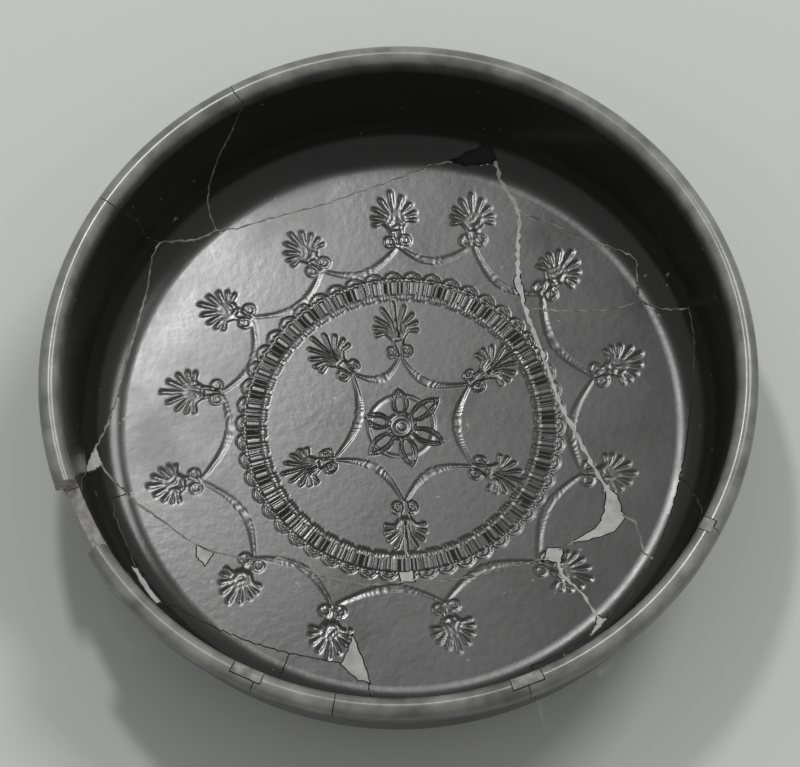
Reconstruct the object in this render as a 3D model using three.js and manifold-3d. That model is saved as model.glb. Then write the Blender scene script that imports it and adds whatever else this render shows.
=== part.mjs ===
// A wheel-thrown black-gloss bowl with a heavy rim and a ring foot. It was broken into
// twelve sherds and mended: the sherds are glued edge to edge, and plaster fills the chips
// where the joins have lost clay. One piece of the rim and one scrap of the floor are lost.
// Millimetres, +Z up. The origin is on the bowl's axis, on the surface that it stands on.
import * as THREE from 'three';
import { mergeVertices } from 'three/addons/utils/BufferGeometryUtils.js';
import Module from 'manifold-3d';

const wasm = await Module();
wasm.setup();

// Turned profile
const rimDiameter = 200;
const bowlHeight = 54;
const insideDepth = 42.3;
const rimWidth = 6;
const rimHeight = 6.5;
const rimUnderRound = 1.2;
const wallLean = THREE.MathUtils.degToRad(8);
const wallThickness = 3.6;
const filletRadius = 12;
const floorDish = 1;
const footRadius = 66.5;
const footWidth = 7;
const footHeight = 7;
const footEdgeRound = 1.2;
const footSplay = 2.4;
const undersideCone = 0.6;

// Breaks and repairs
const glueLine = 0.35;
const rimBreakDepth = 7;
const rimFillDepth = 3.6;
const rimFillReach = 6;

// Fineness of the turned surface and of the cuts
const turns = 64;
const crestSteps = 6;
const filletSteps = 5;
const edgeSteps = 2;
const cutStep = 6;

// Heights and radii that follow from the profile
const rimRadius = rimDiameter / 2;
const crestRound = rimWidth / 2;
const lipRadius = rimRadius - rimWidth;
const lipHeight = bowlHeight - crestRound;
const floorHeight = bowlHeight - insideDepth;
const floorEdgeHeight = floorHeight + floorDish;
const wallRise = lipHeight - floorEdgeHeight - filletRadius * (1 - Math.sin(wallLean));
const floorRadius = lipRadius - wallRise * Math.tan(wallLean) - filletRadius * Math.cos(wallLean);
const filletSweep = Math.PI / 2 - wallLean;
const filletLength = filletRadius * filletSweep;
const lipStation = floorRadius + filletLength + wallRise / Math.cos(wallLean);

// Where a station, a length run from the axis along the floor and up the wall, comes on the
// inner face, and which way that face looks there.
function innerFace(station) {
  const sweep = THREE.MathUtils.clamp((station - floorRadius) / filletRadius, 0, filletSweep);
  const beyond = Math.max(0, station - floorRadius - filletLength);
  const radius = Math.min(station, floorRadius) + filletRadius * Math.sin(sweep) + beyond * Math.sin(wallLean);
  const dish = floorDish * Math.min(1, station / floorRadius) ** 2;
  const rise = filletRadius * (1 - Math.cos(sweep)) + beyond * Math.cos(wallLean);
  return {
    point: new THREE.Vector2(radius, floorHeight + dish + rise),
    normal: new THREE.Vector2(-Math.sin(sweep), Math.cos(sweep)),
  };
}

// Points of a circular arc in the profile, both ends among them
function arc(centre, radius, from, to, steps) {
  return Array.from({ length: steps + 1 }, (_, i) => {
    const angle = from + ((to - from) * i) / steps;
    return new THREE.Vector2(centre.x + radius * Math.cos(angle), centre.y + radius * Math.sin(angle));
  });
}

// The bowl's section, from the middle of the underside out, up, over the rim and back in
function sectionOutline() {
  const point = (x, y) => new THREE.Vector2(x, y);
  const filletCentre = point(floorRadius, floorEdgeHeight + filletRadius);
  const outerRadius = filletRadius + wallThickness;
  const rimFoot = innerFace(lipStation - (rimHeight - crestRound) / Math.cos(wallLean));
  const underRim = rimFoot.point.clone().addScaledVector(rimFoot.normal, -wallThickness);
  const underCentre = point(rimRadius - rimUnderRound, bowlHeight - rimHeight + rimUnderRound);
  const crestCentre = point(lipRadius + crestRound, lipHeight);
  const footInside = footRadius - footWidth;
  return [
    point(0, footHeight - undersideCone),
    point(footInside - footSplay, footHeight),
    point(footInside, footEdgeRound),
    point(footInside + footEdgeRound, 0),
    point(footRadius - footEdgeRound, 0),
    point(footRadius, footEdgeRound),
    point(footRadius - footEdgeRound, footHeight / 2),
    point(footRadius + footEdgeRound, footHeight),
    ...arc(filletCentre, outerRadius, -Math.PI / 2, -wallLean, filletSteps),
    underRim,
    ...arc(underCentre, rimUnderRound, -Math.PI / 2, 0, edgeSteps),
    ...arc(crestCentre, crestRound, 0, Math.PI, crestSteps),
    ...arc(filletCentre, filletRadius, -wallLean, -Math.PI / 2, filletSteps),
    innerFace(floorRadius / 2).point,
    point(0, floorHeight),
  ];
}

// A closed solid from a geometry, with its shared corners merged and its flat slivers left out
function solidOf(geometry) {
  geometry.deleteAttribute('normal');
  geometry.deleteAttribute('uv');
  const welded = mergeVertices(geometry, 1e-4);
  const index = welded.index.array;
  const kept = [];
  for (let i = 0; i < index.length; i += 3) {
    const [a, b, c] = index.subarray(i, i + 3);
    if (a !== b && b !== c && c !== a) kept.push(a, b, c);
  }
  const vertProperties = new Float32Array(welded.attributes.position.array);
  return new wasm.Manifold(new wasm.Mesh({ numProp: 3, vertProperties, triVerts: new Uint32Array(kept) }));
}

const turned = new THREE.LatheGeometry(sectionOutline(), turns);
turned.rotateX(Math.PI / 2);
const wholeBowl = solidOf(turned);

// The breaks are drawn on a plan of the inner face, unrolled flat: the distance from its
// middle is the station, and the lip lies at planLip. The plan stretches with the bowl.
const planLip = 123;
const planScale = lipStation / planLip;
const beyondRim = planLip + 8;
const wallMiddle = planLip - 14;
const cutterInside = 8;
const cutterOutside = footHeight + bowlHeight - insideDepth;
const onPlan = (degrees, station) => {
  const angle = THREE.MathUtils.degToRad(degrees);
  return [station * Math.cos(angle), station * Math.sin(angle)];
};

// A spot of the plan, at a height above the inner face, or a depth below it
function place([u, v], height) {
  const { point, normal } = innerFace(Math.hypot(u, v));
  const across = point.clone().addScaledVector(normal, height);
  const angle = Math.atan2(v, u);
  return [across.x * Math.cos(angle), across.x * Math.sin(angle), across.y];
}

// A drawn line at the bowl's own size, with more points where the inner face curves
function traced(points, closed = false) {
  const full = points.map(([u, v]) => new THREE.Vector2(u, v).multiplyScalar(planScale));
  const ends = closed ? full.length : full.length - 1;
  const line = [];
  for (let i = 0; i < ends; i++) {
    const a = full[i];
    const b = full[(i + 1) % full.length];
    const onFloor = Math.max(a.length(), b.length()) < floorRadius;
    const steps = onFloor ? 1 : Math.ceil(a.distanceTo(b) / cutStep);
    for (let k = 0; k < steps; k++) line.push(a.clone().lerp(b, k / steps));
  }
  if (!closed) line.push(full.at(-1));
  return line;
}

// The line moved sideways, its corners mitred
function offset(line, distance, closed = false) {
  const last = line.length - 1;
  return line.map((p, i) => {
    const before = closed || i > 0 ? line[(i + last) % line.length] : p;
    const after = closed || i < last ? line[(i + 1) % line.length] : p;
    const into = p.clone().sub(before).normalize();
    const out = after.clone().sub(p).normalize();
    const along = into.clone().add(out).normalize();
    const side = new THREE.Vector2(along.y, -along.x);
    const mitre = Math.max(0.4, along.dot(before === p ? out : into));
    return p.clone().addScaledVector(side, distance / mitre);
  });
}

// A closed geometry between two copies of an outline, one above the inner face and one below.
// Each side is split towards its end that is farther out, so the two walls of a slot match.
function through(outline, inside, outside) {
  const count = outline.length;
  const corners = [inside, -outside].flatMap((height) => outline.map((p) => place([p.x, p.y], height)));
  const flat = THREE.ShapeUtils.triangulateShape(outline, []);
  const faces = flat.flatMap(([a, b, c]) => [a, b, c, c + count, b + count, a + count]);
  for (let i = 0; i < count; i++) {
    const j = (i + 1) % count;
    if (outline[j].length() > outline[i].length()) faces.push(i, i + count, j, j, i + count, j + count);
    else faces.push(i, i + count, j + count, i, j + count, j);
  }
  const geometry = new THREE.BufferGeometry();
  geometry.setAttribute('position', new THREE.Float32BufferAttribute(corners.flat(), 3));
  geometry.setIndex(faces);
  return solidOf(geometry);
}

// The thin slot that a crack leaves, one glue line wide
function crackSlot(points) {
  const line = traced(points);
  const right = offset(line, glueLine / 2);
  const left = offset(line, -glueLine / 2).reverse();
  return through([...right, ...left], cutterInside, cutterOutside);
}

// What lies inside an outline, grown or shrunk all round
function plug(points, growth, outside = cutterOutside) {
  return through(offset(traced(points, true), growth, true), cutterInside, outside);
}

// Lost pieces, drawn anticlockwise: a scrap where the floor meets the wall, and a length of
// the rim, broken off along its root
const lostScrap = [[17, 79.8], [22, 78.2], [31.8, 78], [31, 85.2], [24, 82.6]];
const rimBreak = planLip + crestRound - rimBreakDepth;
const lostRim = [
  onPlan(196.2, rimBreak + 1), onPlan(196.2, beyondRim), onPlan(202, beyondRim),
  onPlan(208.6, beyondRim), onPlan(209.4, rimBreak), onPlan(202, rimBreak - 1),
];

// Plaster fills, drawn anticlockwise
const fills = {
  plaster_fill_west: [[-87.4, -3.3], [-93.2, -13.9], [-84.8, -8.9]],
  plaster_fill_floor_west: [[-59, -32.8], [-59, -36.5], [-56.8, -39.6], [-54, -35.5]],
  plaster_fill_wall_south_west: [[-78.2, -40.4], [-74.5, -48.4], [-71.4, -52.4], [-69.8, -51], [-72.8, -46.6], [-76.2, -40.4]],
  plaster_fill_south: [[-16.2, -61.8], [-17.3, -65], [-20, -70.3], [-15.5, -75.2], [-12, -76.3], [-13.2, -71]],
  plaster_fill_band: [[-2.6, -44], [-2.2, -47.4], [2, -46.8], [1.2, -43.6]],
  plaster_fill_south_east: [[52.3, -60.2], [51.6, -62.6], [49.5, -66.5], [53, -63.8], [55, -61.5]],
  plaster_fill_square: [[39.3, -39], [38, -42.7], [43, -43.8], [43.8, -39.3]],
  plaster_fill_east: [
    [57, -22], [56.6, -25], [55.8, -29], [54, -33], [50.5, -35.4], [45.5, -38.2],
    [52, -37.2], [58.5, -35.5], [62, -31], [61, -29.5], [60, -24.5],
  ],
  plaster_fill_north_east: [[35.9, 45.5], [34.2, 42], [35.4, 38], [37, 34.6], [37.4, 37.5]],
};
const rimPatch = (from, to) => [
  onPlan(from, planLip - rimFillReach), onPlan(to, planLip - rimFillReach + 1),
  onPlan(to, beyondRim), onPlan((from + to) / 2, beyondRim), onPlan(from, beyondRim),
].reverse();
const rimFills = {
  rim_fill_south_west: rimPatch(239.4, 244.8),
  rim_fill_south: rimPatch(286, 291.4),
  rim_fill_east: rimPatch(328, 330.4),
};

// The cracks. Each ends inside a fill, a lost piece or another crack, or beyond the rim.
const cracks = [
  // down the north-west wall, then north and east along the floor to the lost scrap
  [
    onPlan(117, beyondRim), onPlan(115, planLip), [-53, 98], [-54.5, 88], [-53.5, 78], [-52.5, 69], [-50, 62],
    [-44, 62.4], [-36, 64.6], [-17, 69], [-10, 71.5], [0, 74.5], [12, 79], [18.5, 79.6],
  ],
  // from the lost scrap down the east side of the stamped floor to the large fill
  [
    [31.2, 79], [32.3, 72.5], [35.5, 67], [37, 63], [37, 60], [36.2, 54], [35.8, 46], [35.7, 42], [36.6, 35.6],
    [37, 34], [38.6, 28], [40.5, 22], [43, 13], [45, 5], [47, 0], [52, -11.5], [54.5, -17.5], [57.6, -23.5],
  ],
  // round the north-east floor sherd
  [[37, 63], [43, 60.5], [50, 57], [54.5, 54.5], [62, 51], [68, 48], [69.8, 46], [69.5, 40], [69.8, 34]],
  [[37, 34], [43, 32.6], [50, 31.8], [60, 31.6], [66, 32.4], [69.8, 34], [76, 30.6], [85.5, 29]],
  // along the foot of the east wall to the south-east fill, and up the wall to the rim
  [
    [85.5, 29], [85.5, 20], [84, 10], [82.5, 2], [81.5, -4], [80.3, -11], [78, -20], [75, -30],
    [71, -40], [67, -47.5], [60, -57], [54.3, -61.8],
  ],
  [[78, -20], [84, -30], [92, -45], [101, -59], onPlan(329, planLip), onPlan(329.4, beyondRim)],
  [
    [50.5, -65], [44.5, -69.5], [40, -71.3], [33, -74], [33.5, -84], [36, -97], onPlan(288.4, planLip),
    onPlan(288.7, beyondRim),
  ],
  // between the east fill, the square fill and the south-east fill
  [[60.8, -30.5], [64.5, -33], [65.5, -37.5], [66.3, -42], [68.8, -44.5]],
  [[47, -37.6], [42.4, -40]],
  [[41.5, -42], [43.3, -48], [46.5, -50.8], [49.2, -54.6], [52.4, -61]],
  // along the outer edge of the stamped band, from the square fill to the west fill
  [[39.5, -42], [31, -43.8], [20.5, -46], [10, -47.3], [1, -46.3]],
  [
    [-1, -46.8], [-12, -47.5], [-24, -44], [-29.5, -41], [-35, -38.2], [-42, -38.2], [-47, -37.4], [-55.5, -34.9],
    [-58, -33.8], [-64, -29], [-70, -24], [-76, -19], [-79, -16], [-86, -8.3],
  ],
  // the west wall, from the lip down to the floor
  [onPlan(145.2, beyondRim), onPlan(144.6, planLip), [-95, 70.7], [-84, 67], [-79, 63.5], [-75, 60.8], [-67.5, 58.3]],
  [
    [-50, 62], [-56, 59.3], [-67.5, 58.3], [-69.3, 54], [-70.3, 45], [-73.5, 34], [-76, 26], [-78.4, 18],
    [-80.8, 9.6], [-83.4, 3], [-88, -5.5],
  ],
  [[-90, -9], [-93.2, -13.9], [-104, -22.5], onPlan(196.6, rimBreak - 3), onPlan(196.8, beyondRim)],
  // below the floor's south-west sherd
  [[-77.2, -16.9], [-82, -18.3], [-82.3, -23], [-80.3, -29], [-78, -35], [-76.8, -41.8]],
  [[-71, -51.4], [-65, -51.5], [-60, -55], [-53, -58.8], [-45, -62.5], [-34.2, -66.4], [-22, -69.5], [-18, -70.6]],
  [[-34.2, -66.4], [-38, -76], [-46, -90], onPlan(243.6, planLip), onPlan(243.8, beyondRim)],
  [[-16.6, -63], [-19, -57], [-22, -50], [-24, -44]],
  [[-12.8, -75.2], [-12, -82], [-16, -94], [-24, -110], onPlan(257, planLip), onPlan(257.2, beyondRim)],
];

// One spot of the plan inside each sherd
const sherds = {
  floor_sherd_centre: [0, 0],
  floor_sherd_north_east: [52, 45],
  floor_sherd_east: [62, 0],
  floor_sherd_south_east: [54, -46],
  floor_sherd_south_west: [-50, -47],
  floor_sherd_south: [20, -66],
  wall_sherd_north_east: onPlan(60, wallMiddle),
  wall_sherd_north_west: onPlan(130, wallMiddle),
  wall_sherd_west: onPlan(170, wallMiddle),
  wall_sherd_south_west: onPlan(220, wallMiddle),
  wall_sherd_south: onPlan(250, wallMiddle),
  wall_sherd_south_east: onPlan(310, wallMiddle),
};

const clay = [
  plug(lostScrap, 0),
  plug(lostRim, 0),
  ...Object.values(fills).map((outline) => plug(outline, glueLine / 2)),
  ...Object.values(rimFills).map((outline) => plug(outline, glueLine / 2, rimFillDepth + glueLine / 2)),
  ...cracks.map(crackSlot),
].reduce((solid, cutter) => solid.subtract(cutter), wholeBowl);

// The triangles of a solid as lists of corners, one list for each piece that hangs together
// edge to edge
function looseParts(solid) {
  const { numProp, vertProperties, triVerts } = solid.getMesh();
  const vertexCount = vertProperties.length / numProp;
  const parent = Uint32Array.from({ length: triVerts.length / 3 }, (_, i) => i);
  const root = (i) => {
    while (parent[i] !== i) i = parent[i] = parent[parent[i]];
    return i;
  };
  const edges = new Map();
  triVerts.forEach((from, k) => {
    const face = Math.floor(k / 3);
    const to = triVerts[3 * face + ((k + 1) % 3)];
    edges.set(from * vertexCount + to, face);
    const beside = edges.get(to * vertexCount + from);
    if (beside !== undefined) parent[root(beside)] = root(face);
  });
  const parts = new Map();
  triVerts.forEach((vertex, k) => {
    const key = root(Math.floor(k / 3));
    if (!parts.has(key)) parts.set(key, []);
    parts.get(key).push(...vertProperties.subarray(vertex * numProp, vertex * numProp + 3));
  });
  return [...parts.values()];
}

// Whether a line through the wall at a spot of the plan meets a piece
function holds(corners, spot) {
  const [u, v] = spot.map((x) => x * planScale);
  const from = new THREE.Vector3(...place([u, v], cutterInside));
  const towards = new THREE.Vector3(...place([u, v], 0)).sub(from).normalize();
  const ray = new THREE.Ray(from, towards);
  const [a, b, c, hit] = [0, 1, 2, 3].map(() => new THREE.Vector3());
  for (let i = 0; i < corners.length; i += 9) {
    a.fromArray(corners, i);
    b.fromArray(corners, i + 3);
    c.fromArray(corners, i + 6);
    if (ray.intersectTriangle(a, b, c, false, hit)) return true;
  }
  return false;
}

const blackGloss = { color: 0x2d2e2b, roughness: 0.3, metalness: 0 };
const plaster = { color: 0xb9bab4, roughness: 0.9, metalness: 0 };

function piece(name, corners, finish) {
  const geometry = new THREE.BufferGeometry();
  geometry.setAttribute('position', new THREE.Float32BufferAttribute(corners, 3));
  const mesh = new THREE.Mesh(mergeVertices(geometry, 1e-6), new THREE.MeshStandardMaterial(finish));
  mesh.name = name;
  return mesh;
}

const bowl = new THREE.Group();
const clayParts = looseParts(clay);
for (const [name, spot] of Object.entries(sherds)) {
  bowl.add(piece(name, clayParts.find((corners) => holds(corners, spot)), blackGloss));
}
for (const [name, outline] of Object.entries(fills)) {
  const fill = wholeBowl.intersect(plug(outline, -glueLine / 2));
  bowl.add(piece(name, looseParts(fill).flat(), plaster));
}
for (const [name, outline] of Object.entries(rimFills)) {
  const fill = wholeBowl.intersect(plug(outline, -glueLine / 2, rimFillDepth - glueLine / 2));
  bowl.add(piece(name, looseParts(fill).flat(), plaster));
}

export default bowl;
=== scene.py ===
"""A black-gloss bowl with a stamped floor, broken into twelve sherds and mended with plaster.

The bowl is turned as one fine closed mesh, its floor pressed with the stamps. Thin slots
along the cracks cut it into sherds, and the plaster fills are cut from the same turned
shape. Sizes are millimetres on the bowl and metres in the scene."""

import math

import bpy
import numpy as np
from mathutils import Matrix, Vector
from mathutils.geometry import tessellate_polygon


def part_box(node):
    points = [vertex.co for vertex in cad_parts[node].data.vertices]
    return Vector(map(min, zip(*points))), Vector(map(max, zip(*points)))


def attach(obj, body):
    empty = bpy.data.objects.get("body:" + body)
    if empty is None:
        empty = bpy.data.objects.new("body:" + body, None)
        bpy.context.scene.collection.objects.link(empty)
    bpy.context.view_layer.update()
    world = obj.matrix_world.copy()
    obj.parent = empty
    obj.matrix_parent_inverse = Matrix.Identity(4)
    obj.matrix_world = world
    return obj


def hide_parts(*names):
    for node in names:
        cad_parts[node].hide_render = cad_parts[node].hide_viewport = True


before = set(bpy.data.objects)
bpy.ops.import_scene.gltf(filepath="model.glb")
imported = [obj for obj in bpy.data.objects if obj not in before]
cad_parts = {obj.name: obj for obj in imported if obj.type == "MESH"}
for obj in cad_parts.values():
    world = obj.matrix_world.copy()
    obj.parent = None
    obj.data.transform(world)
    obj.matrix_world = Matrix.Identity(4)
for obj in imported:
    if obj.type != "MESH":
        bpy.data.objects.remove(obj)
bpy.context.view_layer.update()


# The bowl as it was turned.
# A wheel-thrown bowl of fired clay with a heavy rounded rim, a steep wall, a nearly flat
# floor and a ring foot. One closed section is carried round the axis. Its sizes are those
# of the CAD.
MM = 0.001
RIM_RADIUS, BOWL_HEIGHT, INSIDE_DEPTH = 100.0, 54.0, 42.3
RIM_WIDTH, RIM_HEIGHT, UNDER_ROUND = 6.0, 6.5, 1.2
WALL_LEAN, WALL_THICKNESS = math.radians(8), 3.6
FILLET, DISH = 12.0, 1.0
FOOT_RADIUS, FOOT_WIDTH, FOOT_HEIGHT = 66.5, 7.0, 7.0
FOOT_ROUND, FOOT_SPLAY, UNDERSIDE_CONE = 1.2, 2.4, 0.6
CREST = RIM_WIDTH / 2
LIP_RADIUS, LIP_HEIGHT = RIM_RADIUS - RIM_WIDTH, BOWL_HEIGHT - CREST
FLOOR_HEIGHT = BOWL_HEIGHT - INSIDE_DEPTH
FLOOR_EDGE = FLOOR_HEIGHT + DISH
WALL_RISE = LIP_HEIGHT - FLOOR_EDGE - FILLET * (1 - math.sin(WALL_LEAN))
FLOOR_RADIUS = LIP_RADIUS - WALL_RISE * math.tan(WALL_LEAN) - FILLET * math.cos(WALL_LEAN)
SWEEP = math.pi / 2 - WALL_LEAN
LIP_STATION = FLOOR_RADIUS + FILLET * SWEEP + WALL_RISE / math.cos(WALL_LEAN)
TURNS, FLOOR_STEP = 720, 0.5
WALL_STEPS, CREST_STEPS, UNDER_STEPS, FILLET_STEPS = 33, 24, 6, 16


def inner_face(station):
    """Points (radius, height) and normals of the inner face at stations s: the floor
    z = h + dish (s / R)^2 to s = R, a fillet of sweep (s - R) / f, then a straight wall."""
    s = np.asarray(station, float)
    sweep = np.clip((s - FLOOR_RADIUS) / FILLET, 0, SWEEP)
    beyond = np.maximum(0, s - FLOOR_RADIUS - FILLET * SWEEP)
    radius = np.minimum(s, FLOOR_RADIUS) + FILLET * np.sin(sweep) + beyond * math.sin(WALL_LEAN)
    dish = DISH * np.minimum(1, s / FLOOR_RADIUS) ** 2
    height = FLOOR_HEIGHT + dish + FILLET * (1 - np.cos(sweep)) + beyond * math.cos(WALL_LEAN)
    return np.stack([radius, height], -1), np.stack([-np.sin(sweep), np.cos(sweep)], -1)


def arc(centre, radius, start, end, steps):
    """Points centre + radius (cos t, sin t) for t from start to end."""
    t = np.linspace(start, end, steps + 1)
    return np.stack([centre[0] + radius * np.cos(t), centre[1] + radius * np.sin(t)], -1)


def section(floor_step):
    """The bowl's section from the middle of the floor out, over the rim and back underneath."""
    floor = inner_face(np.arange(floor_step, FLOOR_RADIUS, floor_step))[0]
    stations = np.linspace(FLOOR_RADIUS, LIP_STATION, WALL_STEPS, endpoint=False)
    wall = inner_face(stations)[0]
    point, normal = inner_face(LIP_STATION - (RIM_HEIGHT - CREST) / math.cos(WALL_LEAN))
    under_rim = point - WALL_THICKNESS * normal
    under_centre = (RIM_RADIUS - UNDER_ROUND, BOWL_HEIGHT - RIM_HEIGHT + UNDER_ROUND)
    fillet_centre = (FLOOR_RADIUS, FLOOR_EDGE + FILLET)
    foot_inside = FOOT_RADIUS - FOOT_WIDTH
    foot = [
        (FOOT_RADIUS + FOOT_ROUND, FOOT_HEIGHT), (FOOT_RADIUS - FOOT_ROUND, FOOT_HEIGHT / 2),
        (FOOT_RADIUS, FOOT_ROUND), (FOOT_RADIUS - FOOT_ROUND, 0), (foot_inside + FOOT_ROUND, 0),
        (foot_inside, FOOT_ROUND), (foot_inside - FOOT_SPLAY, FOOT_HEIGHT),
    ]
    return np.vstack([
        floor, wall,
        arc((LIP_RADIUS + CREST, LIP_HEIGHT), CREST, math.pi, 0, CREST_STEPS),
        arc(under_centre, UNDER_ROUND, 0, -math.pi / 2, UNDER_STEPS), [under_rim],
        arc(fillet_centre, FILLET + WALL_THICKNESS, -WALL_LEAN, -math.pi / 2, FILLET_STEPS), foot,
    ])


def turned(profile, turns, relief):
    """A closed turned mesh: vertices and quads of rings round the axis, with a pole at each
    end. relief(x, y) is added to the height of the rings that lie wholly on the floor."""
    angle = np.arange(turns) * 2 * math.pi / turns
    radius, height = profile[:, :1], profile[:, 1:]
    x, y = radius * np.cos(angle), radius * np.sin(angle)
    z = np.broadcast_to(height, x.shape).copy()
    floor = int(np.argmax(profile[:, 0] > FLOOR_RADIUS - FLOOR_STEP))
    z[:floor] += relief(x[:floor], y[:floor])
    rings = np.stack([x, y, z], -1).reshape(-1, 3)
    poles = [[0, 0, FLOOR_HEIGHT], [0, 0, FOOT_HEIGHT - UNDERSIDE_CONE]]
    count = len(profile)
    row, column = np.meshgrid(np.arange(count - 1), np.arange(turns), indexing="ij")
    beside = (column + 1) % turns
    quads = np.stack([row * turns + column, (row + 1) * turns + column,
                      (row + 1) * turns + beside, row * turns + beside], -1).reshape(-1, 4)
    i = np.arange(turns)
    j = (i + 1) % turns
    top, bottom, last = count * turns, count * turns + 1, (count - 1) * turns
    caps = np.vstack([np.stack([np.full(turns, top), i, j], -1),
                      np.stack([np.full(turns, bottom), last + j, last + i], -1)])
    return np.vstack([rings, poles]), quads.tolist() + caps.tolist()


def mesh_object(name, vertices, faces, finish):
    """An object at the origin from vertices in millimetres."""
    mesh = bpy.data.meshes.new(name)
    mesh.from_pydata(np.asarray(vertices, float) * MM, [], faces)
    mesh.update()
    mesh.materials.append(finish)
    thing = bpy.data.objects.new(name, mesh)
    bpy.context.scene.collection.objects.link(thing)
    return thing


# The stamps of the floor.
# Pressed into the soft clay one by one, before the gloss. Two turned circles hold a band of
# ovules. A rosette lies in the middle, six palmettes stand round it and thirteen outside the
# band, their bases linked by arcs.
STAMP_DEPTH = 0.24
RING_GROOVE = 0.45
BAND_IN, BAND_OUT, BAND_MIDDLE, OVULES = 39.3, 44.5, 42.0, 50
TONGUES = [(2.2, 46.3, 1.0), (1.15, 44.9, 0.9)]  # half-width, outer end, weight
TONGUE_GROOVE, TONGUE_START = 0.46, BAND_IN - 1.2
LINK_GROOVE, LINK_WEIGHT, LINK_GAP, LINK_STEPS = 0.36, 0.55, 1.0, 8
OUTER_SAG, INNER_SAG = 5.5, 5.0
PETALS = range(-4, 5)  # counted from the middle one
ROOT_TURN, TIP_TURN = math.radians(9), math.radians(25)  # from one petal to the next
HEART, PETAL_REACH, PETAL_LOSS = 0.3, 0.68, 0.085  # shares of the palmette's length
ROOT_SPACING, PETAL_PARTS = 0.35, (0.55, 0.45)
ROOT_WIDTH, BEND_WIDTH, TIP_WIDTH = 0.34, 0.5, 0.78
VOLUTE_ASIDE, VOLUTE_RADIUS, VOLUTE_GROOVE = 2.1, 1.4, 0.42
EYE_WIDTH, EYE_LENGTH = 0.5, 0.1
STEM_FOOT, STEM_HEAD, STEM_WIDTH = 0.6, 1.5, 0.38
ROSETTE = (0.3, -0.4)
BOSS = 3.7
ROSETTE_RINGS = [(BOSS, 0.5, 1.0), (1.6, 0.6, 0.7), (9.3, 0.4, 0.7)]  # radius, half-width, weight
LEAF_WIDTHS, LEAF_GROOVE, LEAF_MARGIN = (2.25, 1.35), 0.38, 0.4
ROSETTE_TIPS = [(92, 11), (36, 12.8), (-25, 12.5), (-78, 11.8), (-140, 11.7), (163, 10.4)]
OUTER_PALMETTES = [
    ((2, 55), (0.5, 72)), ((23.5, 54), (24, 70)), ((42.5, 37.5), (52, 50.5)),
    ((56, 11.5), (70, 18)), ((51, -17.5), (66, -18.3)), ((37, -43.5), (51.5, -49.5)),
    ((10, -54), (13.5, -69)), ((-21.5, -53.5), (-23.5, -69)), ((-43, -38), (-51, -51)),
    ((-57.5, -14), (-72.5, -15)), ((-50.5, 12.5), (-68, 13.5)), ((-41, 35), (-56, 40)),
    ((-20.5, 48.5), (-29, 60.5)),
]
INNER_PALMETTES = [
    ((1, 21), (-0.5, 38)), ((20.5, 11.5), (34, 21)), ((20, -13.5), (34, -19)),
    ((0, -23.5), (0, -39)), ((-19.5, -9.5), (-34, -13)), ((-13, 16.5), (-24, 28)),
]


def dent(distance, half_width):
    """A rounded groove: cos^2 (pi d / 2w) within half_width of the line, nothing beyond."""
    return np.where(distance < half_width, np.cos(np.pi / 2 * distance / half_width) ** 2, 0)


def stroke(depth, x, y, start, end, widths, weight=1.0):
    """Presses a straight stroke: a groove along the line from start to end, whose half-width
    runs from widths[0] to widths[1]."""
    a, b = np.array(start, float), np.array(end, float)
    middle, reach = (a + b) / 2, np.linalg.norm(b - a) / 2 + max(widths)
    near = np.hypot(x - middle[0], y - middle[1]) < reach
    px, py = x[near] - a[0], y[near] - a[1]
    along = b - a
    t = np.clip((px * along[0] + py * along[1]) / (along @ along), 0, 1)
    far = np.hypot(px - t * along[0], py - t * along[1])
    pressed = weight * dent(far, widths[0] + (widths[1] - widths[0]) * t)
    depth[near] = np.maximum(depth[near], pressed)


def ring(depth, x, y, centre, radius, half_width, weight=1.0):
    """Presses a circular groove, where the distance from the centre is the radius."""
    off = np.abs(np.hypot(x - centre[0], y - centre[1]) - radius)
    np.maximum(depth, weight * dent(off, half_width), out=depth)


def palmette(depth, x, y, base, tip):
    """Nine petals that bend outwards from a heart, over two volutes at the base. Petal k
    leaves the heart at k root turns from the heading and ends at k tip turns from it."""
    b, t = np.array(base, float), np.array(tip, float)
    length = np.linalg.norm(t - b)
    heading = math.atan2(*(t - b)[::-1])
    axis, side = (t - b) / length, np.array([-(t - b)[1], (t - b)[0]]) / length
    heart = b + axis * HEART * length
    for k in PETALS:
        first, second = heading + ROOT_TURN * k, heading + TIP_TURN * k
        reach = length * (PETAL_REACH - PETAL_LOSS * abs(k))
        root = heart + side * ROOT_SPACING * k
        bend = root + np.array([math.cos(first), math.sin(first)]) * reach * PETAL_PARTS[0]
        end = bend + np.array([math.cos(second), math.sin(second)]) * reach * PETAL_PARTS[1]
        stroke(depth, x, y, root, bend, (ROOT_WIDTH, BEND_WIDTH))
        stroke(depth, x, y, bend, end, (BEND_WIDTH, TIP_WIDTH))
    for sign in (-1, 1):
        eye = b + side * sign * VOLUTE_ASIDE + axis * VOLUTE_RADIUS
        ring(depth, x, y, eye, VOLUTE_RADIUS, VOLUTE_GROOVE)
        stroke(depth, x, y, eye, eye + axis * EYE_LENGTH, (EYE_WIDTH, EYE_WIDTH))
        foot, head = b + side * sign * STEM_FOOT, heart + side * sign * STEM_HEAD
        stroke(depth, x, y, foot, head, (STEM_WIDTH, STEM_WIDTH))


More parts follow.
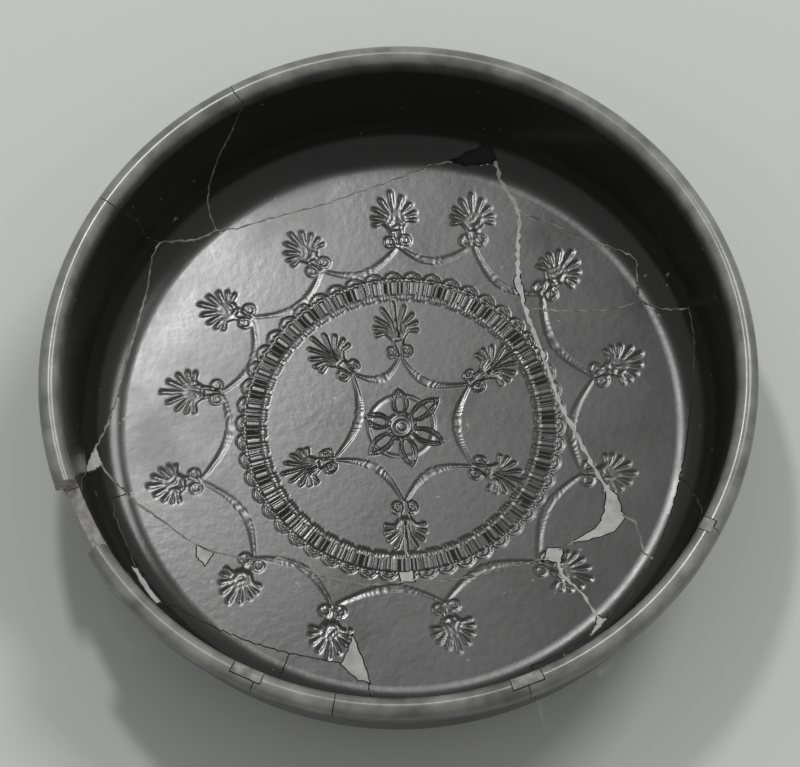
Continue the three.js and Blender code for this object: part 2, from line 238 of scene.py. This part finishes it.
def links(depth, x, y, stamps, sag):
    """Double arcs between neighbouring bases: at a share t of the way, each is drawn in
    towards the middle by its sag times sin(pi t)."""
    for (a, _), (b, _) in zip(stamps, stamps[1:] + stamps[:1]):
        a, b = np.array(a, float), np.array(b, float)
        inward = -(a + b) / np.linalg.norm(a + b)
        t = np.linspace(0, 1, LINK_STEPS + 1)[:, None]
        for shift in (0, LINK_GAP):
            line = a + (b - a) * t + inward * (sag - shift) * np.sin(np.pi * t)
            for start, end in zip(line, line[1:]):
                stroke(depth, x, y, start, end, (LINK_GROOVE, LINK_GROOVE), LINK_WEIGHT)


def rosette(depth, x, y):
    """Three rings about a boss, and six leaves from it. Each leaf is the pair of outlines
    |aside| = w sin(pi t^0.8)^0.6, with t the share of the way from the boss to its tip."""
    for radius, half_width, weight in ROSETTE_RINGS:
        ring(depth, x, y, ROSETTE, radius, half_width, weight)
    for degrees, reach in ROSETTE_TIPS:
        a = math.radians(degrees)
        along = (x - ROSETTE[0]) * math.cos(a) + (y - ROSETTE[1]) * math.sin(a)
        aside = np.abs((y - ROSETTE[1]) * math.cos(a) - (x - ROSETTE[0]) * math.sin(a))
        t = np.clip((along - BOSS) / (reach - BOSS), 0, 1)
        within = (along > BOSS) & (along < reach + LEAF_MARGIN)
        for width in LEAF_WIDTHS:
            leaf = dent(np.abs(aside - width * np.sin(np.pi * t ** 0.8) ** 0.6), LEAF_GROOVE)
            np.maximum(depth, np.where(within, leaf, 0), out=depth)


def band(depth, x, y):
    """Two circles, and between them ovules: the outlines |across| = w, rounded at the outer
    end, OVULES times round."""
    radius, angle = np.hypot(x, y), np.arctan2(y, x)
    for circle in (BAND_IN, BAND_OUT):
        ring(depth, x, y, (0, 0), circle, RING_GROOVE)
    pitch = 2 * math.pi / OVULES
    across = ((angle / pitch) % 1 - 0.5) * pitch * BAND_MIDDLE
    for half_width, end, weight in TONGUES:
        top = end - half_width
        round_end = np.abs(np.hypot(across, radius - top) - half_width)
        off = np.where(radius > top, round_end, np.abs(np.abs(across) - half_width))
        tongue = weight * dent(off, TONGUE_GROOVE) * (radius > TONGUE_START)
        np.maximum(depth, tongue, out=depth)


def stamped(x, y):
    """Height of the floor's relief: at each spot the deepest of all that is pressed there."""
    depth = np.zeros_like(x)
    band(depth, x, y)
    rosette(depth, x, y)
    for base, tip in OUTER_PALMETTES + INNER_PALMETTES:
        palmette(depth, x, y, base, tip)
    links(depth, x, y, OUTER_PALMETTES, OUTER_SAG)
    links(depth, x, y, INNER_PALMETTES, INNER_SAG)
    return -STAMP_DEPTH * depth


# The gloss.
# A fine slip fired black over the whole bowl: a soft gloss, duller in cloudy patches, with
# small pale chips, and rubbed thin along the rim, whose crest is also painted lighter as a
# painted highlight.
# The pale grey lightens the chips and the rubbed rim; on the rim it is also a painted highlight.
SLIP_BLACK, WORN_AND_SHEEN_GREY = (0.016, 0.016, 0.015), (0.29, 0.29, 0.27)


def material(name, base, roughness):
    """A plain Principled material and the handles that its variations hang on."""
    made = bpy.data.materials.new(name)
    made.use_nodes = True
    shader = made.node_tree.nodes["Principled BSDF"]
    shader.inputs["Base Color"].default_value = (*base, 1)
    shader.inputs["Roughness"].default_value = roughness
    place = made.node_tree.nodes.new("ShaderNodeTexCoord")
    return made, shader, place.outputs["Object"]


def ramped(made, value, start, end, low=0, high=1):
    """A value that runs from low to high as the one given goes from start to end."""
    ramp = made.node_tree.nodes.new("ShaderNodeMapRange")
    limits = {"From Min": start, "From Max": end, "To Min": low, "To Max": high}
    for socket, limit in limits.items():
        ramp.inputs[socket].default_value = limit
    made.node_tree.links.new(value, ramp.inputs["Value"])
    return ramp.outputs["Result"]


def noise(made, place, scale, detail, low=0, high=1, start=0, end=1):
    """Noise of the surface's own place, through a ramp."""
    grain = made.node_tree.nodes.new("ShaderNodeTexNoise")
    grain.inputs["Scale"].default_value = scale
    grain.inputs["Detail"].default_value = detail
    made.node_tree.links.new(place, grain.inputs["Vector"])
    return ramped(made, grain.outputs["Fac"], start, end, low, high)


def joined(made, operation, first, second):
    """Two values brought together by a math node."""
    join = made.node_tree.nodes.new("ShaderNodeMath")
    join.operation = operation
    made.node_tree.links.new(first, join.inputs[0])
    made.node_tree.links.new(second, join.inputs[1])
    return join.outputs["Value"]


def rim_rub_and_sheen(made, place):
    """How far the rim is painted lighter, partly as rubbed-thin gloss and partly as a painted
    highlight: most on its crest, less on its outside, and none below the rim."""
    split = made.node_tree.nodes.new("ShaderNodeSeparateXYZ")
    made.node_tree.links.new(place, split.inputs["Vector"])
    under_rim, crest = (BOWL_HEIGHT - RIM_HEIGHT) * MM, BOWL_HEIGHT * MM
    height = ramped(made, split.outputs["Z"], under_rim, crest)
    patches = noise(made, place, scale=120, detail=5, low=0.35, high=0.95, start=0.3, end=0.7)
    return joined(made, "MULTIPLY", height, patches)


def tint(made, shader, factor, dark, light):
    """Mixes the base colour between two by a factor."""
    mix = made.node_tree.nodes.new("ShaderNodeMix")
    mix.data_type = "RGBA"
    weight, first, second, mixed = mix.inputs[0], mix.inputs[6], mix.inputs[7], mix.outputs[2]
    first.default_value = (*dark, 1)
    second.default_value = (*light, 1)
    made.node_tree.links.new(factor, weight)
    made.node_tree.links.new(mixed, shader.inputs["Base Color"])


def bump(made, shader, height, distance):
    """Raises the surface by height times distance, in metres."""
    lift = made.node_tree.nodes.new("ShaderNodeBump")
    lift.inputs["Distance"].default_value = distance
    made.node_tree.links.new(height, lift.inputs["Height"])
    made.node_tree.links.new(lift.outputs["Normal"], shader.inputs["Normal"])


def black_gloss():
    """The gloss, with its cloudy patches, its chips, and its worn rim lightened further by a
    painted highlight.
    """
    made, shader, place = material("black_gloss", SLIP_BLACK, roughness=0.22)
    cloud = noise(made, place, scale=38, detail=6, low=0.19, high=0.28, start=0.35, end=0.68)
    made.node_tree.links.new(cloud, shader.inputs["Roughness"])
    chips = noise(made, place, scale=300, detail=3, low=0, high=0.6, start=0.72, end=0.76)
    # The chips are wear; the rim's lightening is partly wear and partly a painted highlight.
    wear_and_sheen = joined(made, "MAXIMUM", rim_rub_and_sheen(made, place), chips)
    tint(made, shader, wear_and_sheen, SLIP_BLACK, WORN_AND_SHEEN_GREY)
    bump(made, shader, noise(made, place, scale=420, detail=5), 0.00002)
    return made


vertices, faces = turned(section(FLOOR_STEP), TURNS, stamped)
bowl = mesh_object("bowl", vertices, faces, black_gloss())


# The breaks.
# The bowl broke along these cracks. A scrap of wall and a length of rim are lost, and the
# other gaps are filled. All are drawn on a plan of the inner face, unrolled flat: the
# distance from its middle is the station, and the lip lies at PLAN_LIP.
PLAN_LIP = 123.0
PLAN_SCALE = LIP_STATION / PLAN_LIP
BEYOND_RIM = PLAN_LIP + 8
RIM_BREAK_DEPTH = 7
RIM_BREAK = PLAN_LIP + CREST - RIM_BREAK_DEPTH
RIM_FILL_DEPTH, RIM_FILL_REACH = 3.6, 6.0
GLUE_LINE = 0.35
CUT_INSIDE, CUT_OUTSIDE = 8.0, FOOT_HEIGHT + FLOOR_HEIGHT
CUT_STEP = 1.6
WAVER, FINE_WAVER = 0.16, 0.10
LEAST_MITRE = 0.4


def on_plan(degrees, station):
    """The plan's spot at an angle and a station."""
    a = math.radians(degrees)
    return (station * math.cos(a), station * math.sin(a))


def rim_patch(start, end):
    """A patch of the rim between two angles, a little slanted at its lower edge."""
    low = PLAN_LIP - RIM_FILL_REACH
    return [
        on_plan(start, BEYOND_RIM), on_plan((start + end) / 2, BEYOND_RIM),
        on_plan(end, BEYOND_RIM), on_plan(end, low + 1), on_plan(start, low),
    ]


LOST_SCRAP = [(17, 79.8), (22, 78.2), (31.8, 78), (31, 85.2), (24, 82.6)]
LOST_RIM = [
    on_plan(196.2, RIM_BREAK + 1), on_plan(196.2, BEYOND_RIM), on_plan(202, BEYOND_RIM),
    on_plan(208.6, BEYOND_RIM), on_plan(209.4, RIM_BREAK), on_plan(202, RIM_BREAK - 1),
]
FILLS = {
    "plaster_fill_west": [(-87.4, -3.3), (-93.2, -13.9), (-84.8, -8.9)],
    "plaster_fill_floor_west": [(-59, -32.8), (-59, -36.5), (-56.8, -39.6), (-54, -35.5)],
    "plaster_fill_wall_south_west": [
        (-78.2, -40.4), (-74.5, -48.4), (-71.4, -52.4), (-69.8, -51), (-72.8, -46.6),
        (-76.2, -40.4),
    ],
    "plaster_fill_south": [
        (-16.2, -61.8), (-17.3, -65), (-20, -70.3), (-15.5, -75.2), (-12, -76.3), (-13.2, -71),
    ],
    "plaster_fill_band": [(-2.6, -44), (-2.2, -47.4), (2, -46.8), (1.2, -43.6)],
    "plaster_fill_south_east": [
        (52.3, -60.2), (51.6, -62.6), (49.5, -66.5), (53, -63.8), (55, -61.5),
    ],
    "plaster_fill_square": [(39.3, -39), (38, -42.7), (43, -43.8), (43.8, -39.3)],
    "plaster_fill_east": [
        (57, -22), (56.6, -25), (55.8, -29), (54, -33), (50.5, -35.4), (45.5, -38.2),
        (52, -37.2), (58.5, -35.5), (62, -31), (61, -29.5), (60, -24.5),
    ],
    "plaster_fill_north_east": [(35.9, 45.5), (34.2, 42), (35.4, 38), (37, 34.6), (37.4, 37.5)],
}
RIM_FILLS = {
    "rim_fill_south_west": rim_patch(239.4, 244.8),
    "rim_fill_south": rim_patch(286, 291.4),
    "rim_fill_east": rim_patch(328, 330.4),
}

# Each crack ends inside a fill, a lost piece or another crack, or beyond the rim.
CRACKS = [
    # down the north-west wall, then north and east along the floor to the lost scrap
    [
        on_plan(117, BEYOND_RIM), on_plan(115, PLAN_LIP),
        (-53, 98), (-54.5, 88), (-53.5, 78), (-52.5, 69), (-50, 62), (-44, 62.4),
        (-36, 64.6), (-17, 69), (-10, 71.5), (0, 74.5), (12, 79), (18.5, 79.6),
    ],
    # from the lost scrap down the east side of the stamped floor to the large fill
    [
        (31.2, 79), (32.3, 72.5), (35.5, 67), (37, 63), (37, 60), (36.2, 54), (35.8, 46),
        (35.7, 42), (36.6, 35.6), (37, 34), (38.6, 28), (40.5, 22), (43, 13), (45, 5), (47, 0),
        (52, -11.5), (54.5, -17.5), (57.6, -23.5),
    ],
    # round the north-east floor sherd
    [
        (37, 63), (43, 60.5), (50, 57), (54.5, 54.5), (62, 51), (68, 48), (69.8, 46),
        (69.5, 40), (69.8, 34),
    ],
    [(37, 34), (43, 32.6), (50, 31.8), (60, 31.6), (66, 32.4), (69.8, 34), (76, 30.6), (85.5, 29)],
    # along the foot of the east wall to the south-east fill, and up the wall to the rim
    [
        (85.5, 29), (85.5, 20), (84, 10), (82.5, 2), (81.5, -4), (80.3, -11), (78, -20), (75, -30),
        (71, -40), (67, -47.5), (60, -57), (54.3, -61.8),
    ],
    [
        (78, -20), (84, -30), (92, -45), (101, -59),
        on_plan(329, PLAN_LIP), on_plan(329.4, BEYOND_RIM),
    ],
    [
        (50.5, -65), (44.5, -69.5), (40, -71.3), (33, -74), (33.5, -84), (36, -97),
        on_plan(288.4, PLAN_LIP), on_plan(288.7, BEYOND_RIM),
    ],
    # between the east fill, the square fill and the south-east fill
    [(60.8, -30.5), (64.5, -33), (65.5, -37.5), (66.3, -42), (68.8, -44.5)],
    [(47, -37.6), (42.4, -40)],
    [(41.5, -42), (43.3, -48), (46.5, -50.8), (49.2, -54.6), (52.4, -61)],
    # along the outer edge of the stamped band, from the square fill to the west fill
    [(39.5, -42), (31, -43.8), (20.5, -46), (10, -47.3), (1, -46.3)],
    [
        (-1, -46.8), (-12, -47.5), (-24, -44), (-29.5, -41), (-35, -38.2), (-42, -38.2),
        (-47, -37.4), (-55.5, -34.9), (-58, -33.8), (-64, -29), (-70, -24), (-76, -19),
        (-79, -16), (-86, -8.3),
    ],
    # the west wall, from the lip down to the floor
    [
        on_plan(145.2, BEYOND_RIM), on_plan(144.6, PLAN_LIP),
        (-95, 70.7), (-84, 67), (-79, 63.5), (-75, 60.8), (-67.5, 58.3),
    ],
    [
        (-50, 62), (-56, 59.3), (-67.5, 58.3), (-69.3, 54), (-70.3, 45), (-73.5, 34), (-76, 26),
        (-78.4, 18), (-80.8, 9.6), (-83.4, 3), (-88, -5.5),
    ],
    [
        (-90, -9), (-93.2, -13.9), (-104, -22.5),
        on_plan(196.6, RIM_BREAK - 3), on_plan(196.8, BEYOND_RIM),
    ],
    # below the floor's south-west sherd
    [(-77.2, -16.9), (-82, -18.3), (-82.3, -23), (-80.3, -29), (-78, -35), (-76.8, -41.8)],
    [
        (-71, -51.4), (-65, -51.5), (-60, -55), (-53, -58.8), (-45, -62.5), (-34.2, -66.4),
        (-22, -69.5), (-18, -70.6),
    ],
    [(-34.2, -66.4), (-38, -76), (-46, -90), on_plan(243.6, PLAN_LIP), on_plan(243.8, BEYOND_RIM)],
    [(-16.6, -63), (-19, -57), (-22, -50), (-24, -44)],
    [
        (-12.8, -75.2), (-12, -82), (-16, -94), (-24, -110),
        on_plan(257, PLAN_LIP), on_plan(257.2, BEYOND_RIM),
    ],
]


def wobble(line):
    """The small waver that a real break has: each point moves by a sum of sines of its own
    place, so lines that meet still meet."""
    u, v = line[:, 0], line[:, 1]
    du = WAVER * np.sin(0.9 * u + 1.7 * v) + FINE_WAVER * np.sin(2.9 * v - 1.3 * u + 1.0)
    dv = WAVER * np.sin(1.1 * v - 1.5 * u + 2.0) + FINE_WAVER * np.sin(2.6 * u + 1.9 * v)
    return line + np.stack([du, dv], -1)


def traced(points, closed=False):
    """A drawn line at the bowl's own size, each stretch of it cut into equal steps of at most
    CUT_STEP, and wavered."""
    drawn = np.array(points, float) * PLAN_SCALE
    starts = drawn if closed else drawn[:-1]
    stretches = np.roll(drawn, -1, 0)[:len(starts)] - starts
    steps = np.maximum(1, np.ceil(np.linalg.norm(stretches, axis=1) / CUT_STEP)).astype(int)
    i = np.repeat(np.arange(len(steps)), steps)
    k = np.arange(len(i)) - np.repeat(np.cumsum(steps) - steps, steps)
    line = starts[i] + stretches[i] * k[:, None] / steps[i][:, None]
    return wobble(line if closed else np.vstack([line, drawn[-1:]]))


def offset(line, distance, closed=False):
    """The line moved sideways, at each corner by distance / cos of half its turn, down to a
    cosine of LEAST_MITRE."""
    before, after = np.roll(line, 1, 0), np.roll(line, -1, 0)
    if not closed:
        before[0], after[-1] = 2 * line[0] - line[1], 2 * line[-1] - line[-2]
    into, out = line - before, after - line
    into /= np.linalg.norm(into, axis=1)[:, None]
    out /= np.linalg.norm(out, axis=1)[:, None]
    along = into + out
    along /= np.linalg.norm(along, axis=1)[:, None]
    mitre = np.maximum(LEAST_MITRE, (along * into).sum(1))
    return line + np.stack([along[:, 1], -along[:, 0]], -1) * (distance / mitre)[:, None]


def through(name, outline, inside, outside, finish):
    """A closed solid between two copies of an outline. Each point stands on the inner face at
    its own station and angle, and moves along the normal by inside in one copy and by
    -outside in the other. Each side is split towards its end that is farther out."""
    station = np.hypot(outline[:, 0], outline[:, 1])
    angle = np.arctan2(outline[:, 1], outline[:, 0])
    point, normal = inner_face(station)
    layers = []
    for height in (inside, -outside):
        radius, level = (point + height * normal).T
        layers.append(np.stack([radius * np.cos(angle), radius * np.sin(angle), level], -1))
    count = len(outline)
    flat = np.array(tessellate_polygon([[Vector((u, v, 0)) for u, v in outline]]))
    a, b, c = flat.T
    ab, ac = outline[b] - outline[a], outline[c] - outline[a]
    upward = ab[:, 0] * ac[:, 1] - ab[:, 1] * ac[:, 0] > 0
    b, c = np.where(upward, b, c), np.where(upward, c, b)
    caps = np.stack([a, b, c, c + count, b + count, a + count], -1)
    i = np.arange(count)
    j = (i + 1) % count
    rising = np.stack([i, i + count, j, j, i + count, j + count], -1)
    falling = np.stack([i, i + count, j + count, i, j + count, j], -1)
    sides = np.where((station[j] > station[i])[:, None], rising, falling)
    faces = np.vstack([caps, sides]).reshape(-1, 3).tolist()
    return mesh_object(name, np.vstack(layers), faces, finish)


def plug(name, points, growth, finish, outside=CUT_OUTSIDE):
    """A cutter of what lies inside an outline, grown or shrunk all round."""
    outline = offset(traced(points, True), growth, True)
    return through(name, outline, CUT_INSIDE, outside, finish)


def crack_slot(name, points, finish):
    """A cutter one glue line wide along a crack."""
    line = traced(points)
    sides = np.vstack([offset(line, GLUE_LINE / 2), offset(line, -GLUE_LINE / 2)[::-1]])
    return through(name, sides, CUT_INSIDE, CUT_OUTSIDE, finish)


# The sherds.
# Twelve pieces of the bowl, glued edge to edge, with the bare grey clay on their broken
# sides. The turned bowl less the lost pieces, the fills and the cracks is parted where it
# falls apart, and each part stands for the CAD node whose box is nearest to its own.
CLAY_GREY = (0.25, 0.245, 0.225)
CLAY_DARK, CLAY_LIGHT = (0.16, 0.155, 0.145), (0.36, 0.35, 0.32)
LARGEST_MISFIT = 1 * MM
SHARP_ANGLE = math.radians(50)


def clay():
    """The fired body where it is broken."""
    made, shader, place = material("fired_clay", CLAY_GREY, roughness=0.9)
    mottle = noise(made, place, scale=500, detail=4, start=0.3, end=0.7)
    tint(made, shader, mottle, CLAY_DARK, CLAY_LIGHT)
    bump(made, shader, noise(made, place, scale=700, detail=4), 0.0003)
    return made


def combine(thing, tool, operation):
    """Adds, cuts or keeps with a boolean, and leaves only the result."""
    change = thing.modifiers.new("combine", "BOOLEAN")
    change.operation, change.object = operation, tool
    change.solver, change.material_mode = "MANIFOLD", "TRANSFER"
    evaluated = thing.evaluated_get(bpy.context.evaluated_depsgraph_get())
    made = bpy.data.meshes.new_from_object(evaluated)
    thing.modifiers.clear()
    thing.data = made


def remove(thing):
    """Takes an object out of the file."""
    bpy.data.objects.remove(thing, do_unlink=True)


def all_cutters(bare):
    """One closed cutter for everything that the bowl has lost or that parts it. It leaves the
    bare clay on what it cuts."""
    grown = GLUE_LINE / 2
    rim_depth = RIM_FILL_DEPTH + grown
    tools = [plug("lost_scrap", LOST_SCRAP, 0, bare), plug("lost_rim", LOST_RIM, 0, bare)]
    for name, outline in FILLS.items():
        tools.append(plug("cut_" + name, outline, grown, bare))
    for name, outline in RIM_FILLS.items():
        tools.append(plug("cut_" + name, outline, grown, bare, rim_depth))
    for i, points in enumerate(CRACKS):
        tools.append(crack_slot(f"crack_{i}", points, bare))
    whole = tools[0]
    for tool in tools[1:]:
        combine(whole, tool, "UNION")
        remove(tool)
    return whole


def soften(mesh):
    """Smooth shading with hard edges along the breaks."""
    mesh.shade_smooth()
    mesh.set_sharp_from_angle(angle=SHARP_ANGLE)


def parted(thing):
    """Separates an object into its loose parts."""
    bpy.ops.object.select_all(action="DESELECT")
    thing.select_set(True)
    bpy.context.view_layer.objects.active = thing
    bpy.ops.mesh.separate(type="LOOSE")
    return list(bpy.context.selected_objects)


def corners(thing):
    """Lowest and highest corner of an object's mesh, as six numbers."""
    co = np.empty(len(thing.data.vertices) * 3)
    thing.data.vertices.foreach_get("co", co)
    co = co.reshape(-1, 3)
    return np.concatenate([co.min(0), co.max(0)])


cutter = all_cutters(clay())
combine(bowl, cutter, "DIFFERENCE")
remove(cutter)
sherd_nodes = [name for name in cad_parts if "sherd" in name]
node_boxes = {name: np.concatenate([*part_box(name)]) for name in sherd_nodes}
sherds = sorted(parted(bowl), key=lambda thing: -len(thing.data.vertices))
if len(sherds) != len(node_boxes):
    raise ValueError(f"the bowl fell into {len(sherds)} parts and not {len(node_boxes)}")
for part in sherds:
    misfit = {name: np.abs(box - corners(part)).max() for name, box in node_boxes.items()}
    found = min(misfit, key=misfit.get)
    if misfit[found] > LARGEST_MISFIT:
        raise ValueError(f"no node's box is near that of the part found for {found}")
    del node_boxes[found]
    part.name = "gloss_" + found
    soften(part.data)
    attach(part, "root")
    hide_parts(found)


# The fills.
# Pale mending plaster, cast where clay is missing, and greyer along the rim. Each fill is
# what its outline holds of the same turned shape, unstamped and half a glue line short all
# round.
PLAIN_TURNS, PLAIN_STEP = 360, 4.0


def plaster(name, dark, light):
    """Pale mending plaster, matt and a little uneven."""
    made, shader, place = material(name, light, roughness=0.9)
    mottle = noise(made, place, scale=260, detail=4, start=0.3, end=0.7)
    tint(made, shader, mottle, dark, light)
    bump(made, shader, noise(made, place, scale=350, detail=4), 0.0004)
    return made


def unstamped(x, y):
    """No relief."""
    return np.zeros_like(x)


def fill(name, outline, outside, finish):
    """Cuts one fill out of a plain turned bowl and puts it in its node's place."""
    vertices, faces = turned(section(PLAIN_STEP), PLAIN_TURNS, unstamped)
    made = mesh_object("mend_" + name, vertices, faces, finish)
    tool = plug("tool", outline, -GLUE_LINE / 2, finish, outside)
    combine(made, tool, "INTERSECT")
    remove(tool)
    soften(made.data)
    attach(made, "root")
    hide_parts(name)


PLASTER = plaster("plaster", dark=(0.36, 0.36, 0.34), light=(0.56, 0.56, 0.54))
GREY_PLASTER = plaster("grey_plaster", dark=(0.1, 0.1, 0.095), light=(0.36, 0.36, 0.34))
for name, outline in FILLS.items():
    fill(name, outline, CUT_OUTSIDE, PLASTER)
for name, outline in RIM_FILLS.items():
    fill(name, outline, RIM_FILL_DEPTH - GLUE_LINE / 2, GREY_PLASTER)


# The seams.
# Glue and plaster, smeared along the joins as the sherds were set, lie a hair above the
# gloss. The seam down the east side of the floor is the broadest. Each width goes by its
# crack's place in CRACKS.
SEAM_RISE, SEAM_DEPTH = 0.04, 0.3
SEAM_WIDTHS = {
    0: 0.5, 1: 1.25, 2: 0.42, 3: 0.42, 7: 0.6, 8: 0.6, 9: 0.85, 10: 0.4, 11: 0.6, 13: 0.6, 18: 0.4,
}
BROAD_SEAM = 0.8
SEAM_TOP = LIP_STATION - 8


def seam(name, points, width):
    """A strip along a crack, its width times 0.75 + 0.45 sin of its place on either side."""
    line = traced(points)
    line = line[np.hypot(line[:, 0], line[:, 1]) < SEAM_TOP]
    ripple = 0.75 + 0.45 * np.sin(1.7 * line[:, 0] + 2.3 * line[:, 1])
    sides = []
    for sign in (1, -1):
        moved = offset(line, sign * width / 2)
        sides.append(line + (moved - line) * ripple[:, None])
    outline = np.vstack([sides[0], sides[1][::-1]])
    finish = PLASTER if width > BROAD_SEAM else GREY_PLASTER
    made = through(name, outline, SEAM_RISE, SEAM_DEPTH, finish)
    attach(made, "root")


for number, width in SEAM_WIDTHS.items():
    seam(f"seam_{number}", CRACKS[number], width)


# The painted shade in the lost scrap.
# The triangular gap at the foot of the north wall looks dark in the photograph. A thin dark
# sheet sits in the gap as painted shade, sunk below the inner face and short of the outer one.
SHADE_SHEET_TOP, SHADE_SHEET_BOTTOM = 1.4, 2.6
SHADE_SHEET_BLACK = (0.012, 0.012, 0.014)

# A near-black matt sheet in the lost scrap: painted shade where the gap would show the ground.
shade_sheet_finish = material("painted_shade_sheet", SHADE_SHEET_BLACK, roughness=0.8)[0]
scrap = traced(LOST_SCRAP, closed=True)
shade_sheet = through("scrap_shade_sheet", scrap, -SHADE_SHEET_TOP, SHADE_SHEET_BOTTOM, shade_sheet_finish)
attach(shade_sheet, "root")


# The ground.
# A plain pale matt sheet under the foot. It lies a hair lower than the foot, so that the two
# never share a face.
GROUND_REACH, GROUND_DROP = 3000, 0.2
GROUND_CORNERS = [(-1, -1), (1, -1), (1, 1), (-1, 1)]

ground_finish, ground_shader, _ = material("ground", (0.62, 0.63, 0.61), roughness=0.95)
ground_shader.inputs["Specular IOR Level"].default_value = 0.1
square = [(u * GROUND_REACH, v * GROUND_REACH, -GROUND_DROP) for u, v in GROUND_CORNERS]
mesh_object("ground", square, [(0, 1, 2, 3)], ground_finish)


# The lights.
# The window mirrors in the upper left of the floor, the overhead panel lays a weak sheen
# over its left side, the key throws the shadow to the lower left, and the surround fills in.
SURROUND = (0.38, 0.385, 0.38)


def panel(name, place, width, height, power):
    """A soft rectangular lamp that faces the bowl."""
    lamp = bpy.data.lights.new(name, "AREA")
    lamp.shape, lamp.size, lamp.size_y, lamp.energy = "RECTANGLE", width, height, power
    thing = bpy.data.objects.new(name, lamp)
    thing.location = place
    thing.rotation_euler = (-Vector(place)).to_track_quat("-Z", "Y").to_euler()
    bpy.context.scene.collection.objects.link(thing)


panel("window", place=(-0.118, 0.458, 1.0), width=0.07, height=0.13, power=3.0)
panel("overhead", place=(-0.2, 0.40, 1.45), width=0.6, height=0.6, power=0.25)
panel("key", place=(1.7, 1.5, 3.3), width=1.1, height=1.1, power=44.0)
world = bpy.data.worlds.new("surround")
world.use_nodes = True
world.node_tree.nodes["Background"].inputs["Color"].default_value = (*SURROUND, 1)
bpy.context.scene.world = world
bpy.context.scene.view_settings.view_transform = "Standard"


# The camera.
# It looks down at the bowl from the south, 69 degrees above the ground and rolled by 3, as
# the photograph does.
CAMERA_PLACE = (0.00044, -0.5412, 1.4530)
CAMERA_ELEVATION, CAMERA_ROLL = math.radians(68.978), math.radians(2.893)
CAMERA_LENS, CAMERA_SENSOR = 243.64, 36


def camera():
    """The view of the photograph: 69 degrees above the ground and rolled by 3."""
    right = Vector((1, 0, 0))
    up = Vector((0, math.sin(CAMERA_ELEVATION), math.cos(CAMERA_ELEVATION)))
    back = right.cross(up)
    across = right * math.cos(CAMERA_ROLL) - up * math.sin(CAMERA_ROLL)
    upward = right * math.sin(CAMERA_ROLL) + up * math.cos(CAMERA_ROLL)
    lens = bpy.data.cameras.new("camera")
    lens.lens, lens.sensor_width, lens.sensor_fit = CAMERA_LENS, CAMERA_SENSOR, "HORIZONTAL"
    thing = bpy.data.objects.new("camera", lens)
    turn = Matrix((across, upward, back)).transposed().to_4x4()
    thing.matrix_world = Matrix.Translation(CAMERA_PLACE) @ turn
    bpy.context.scene.collection.objects.link(thing)
    bpy.context.scene.camera = thing


camera()
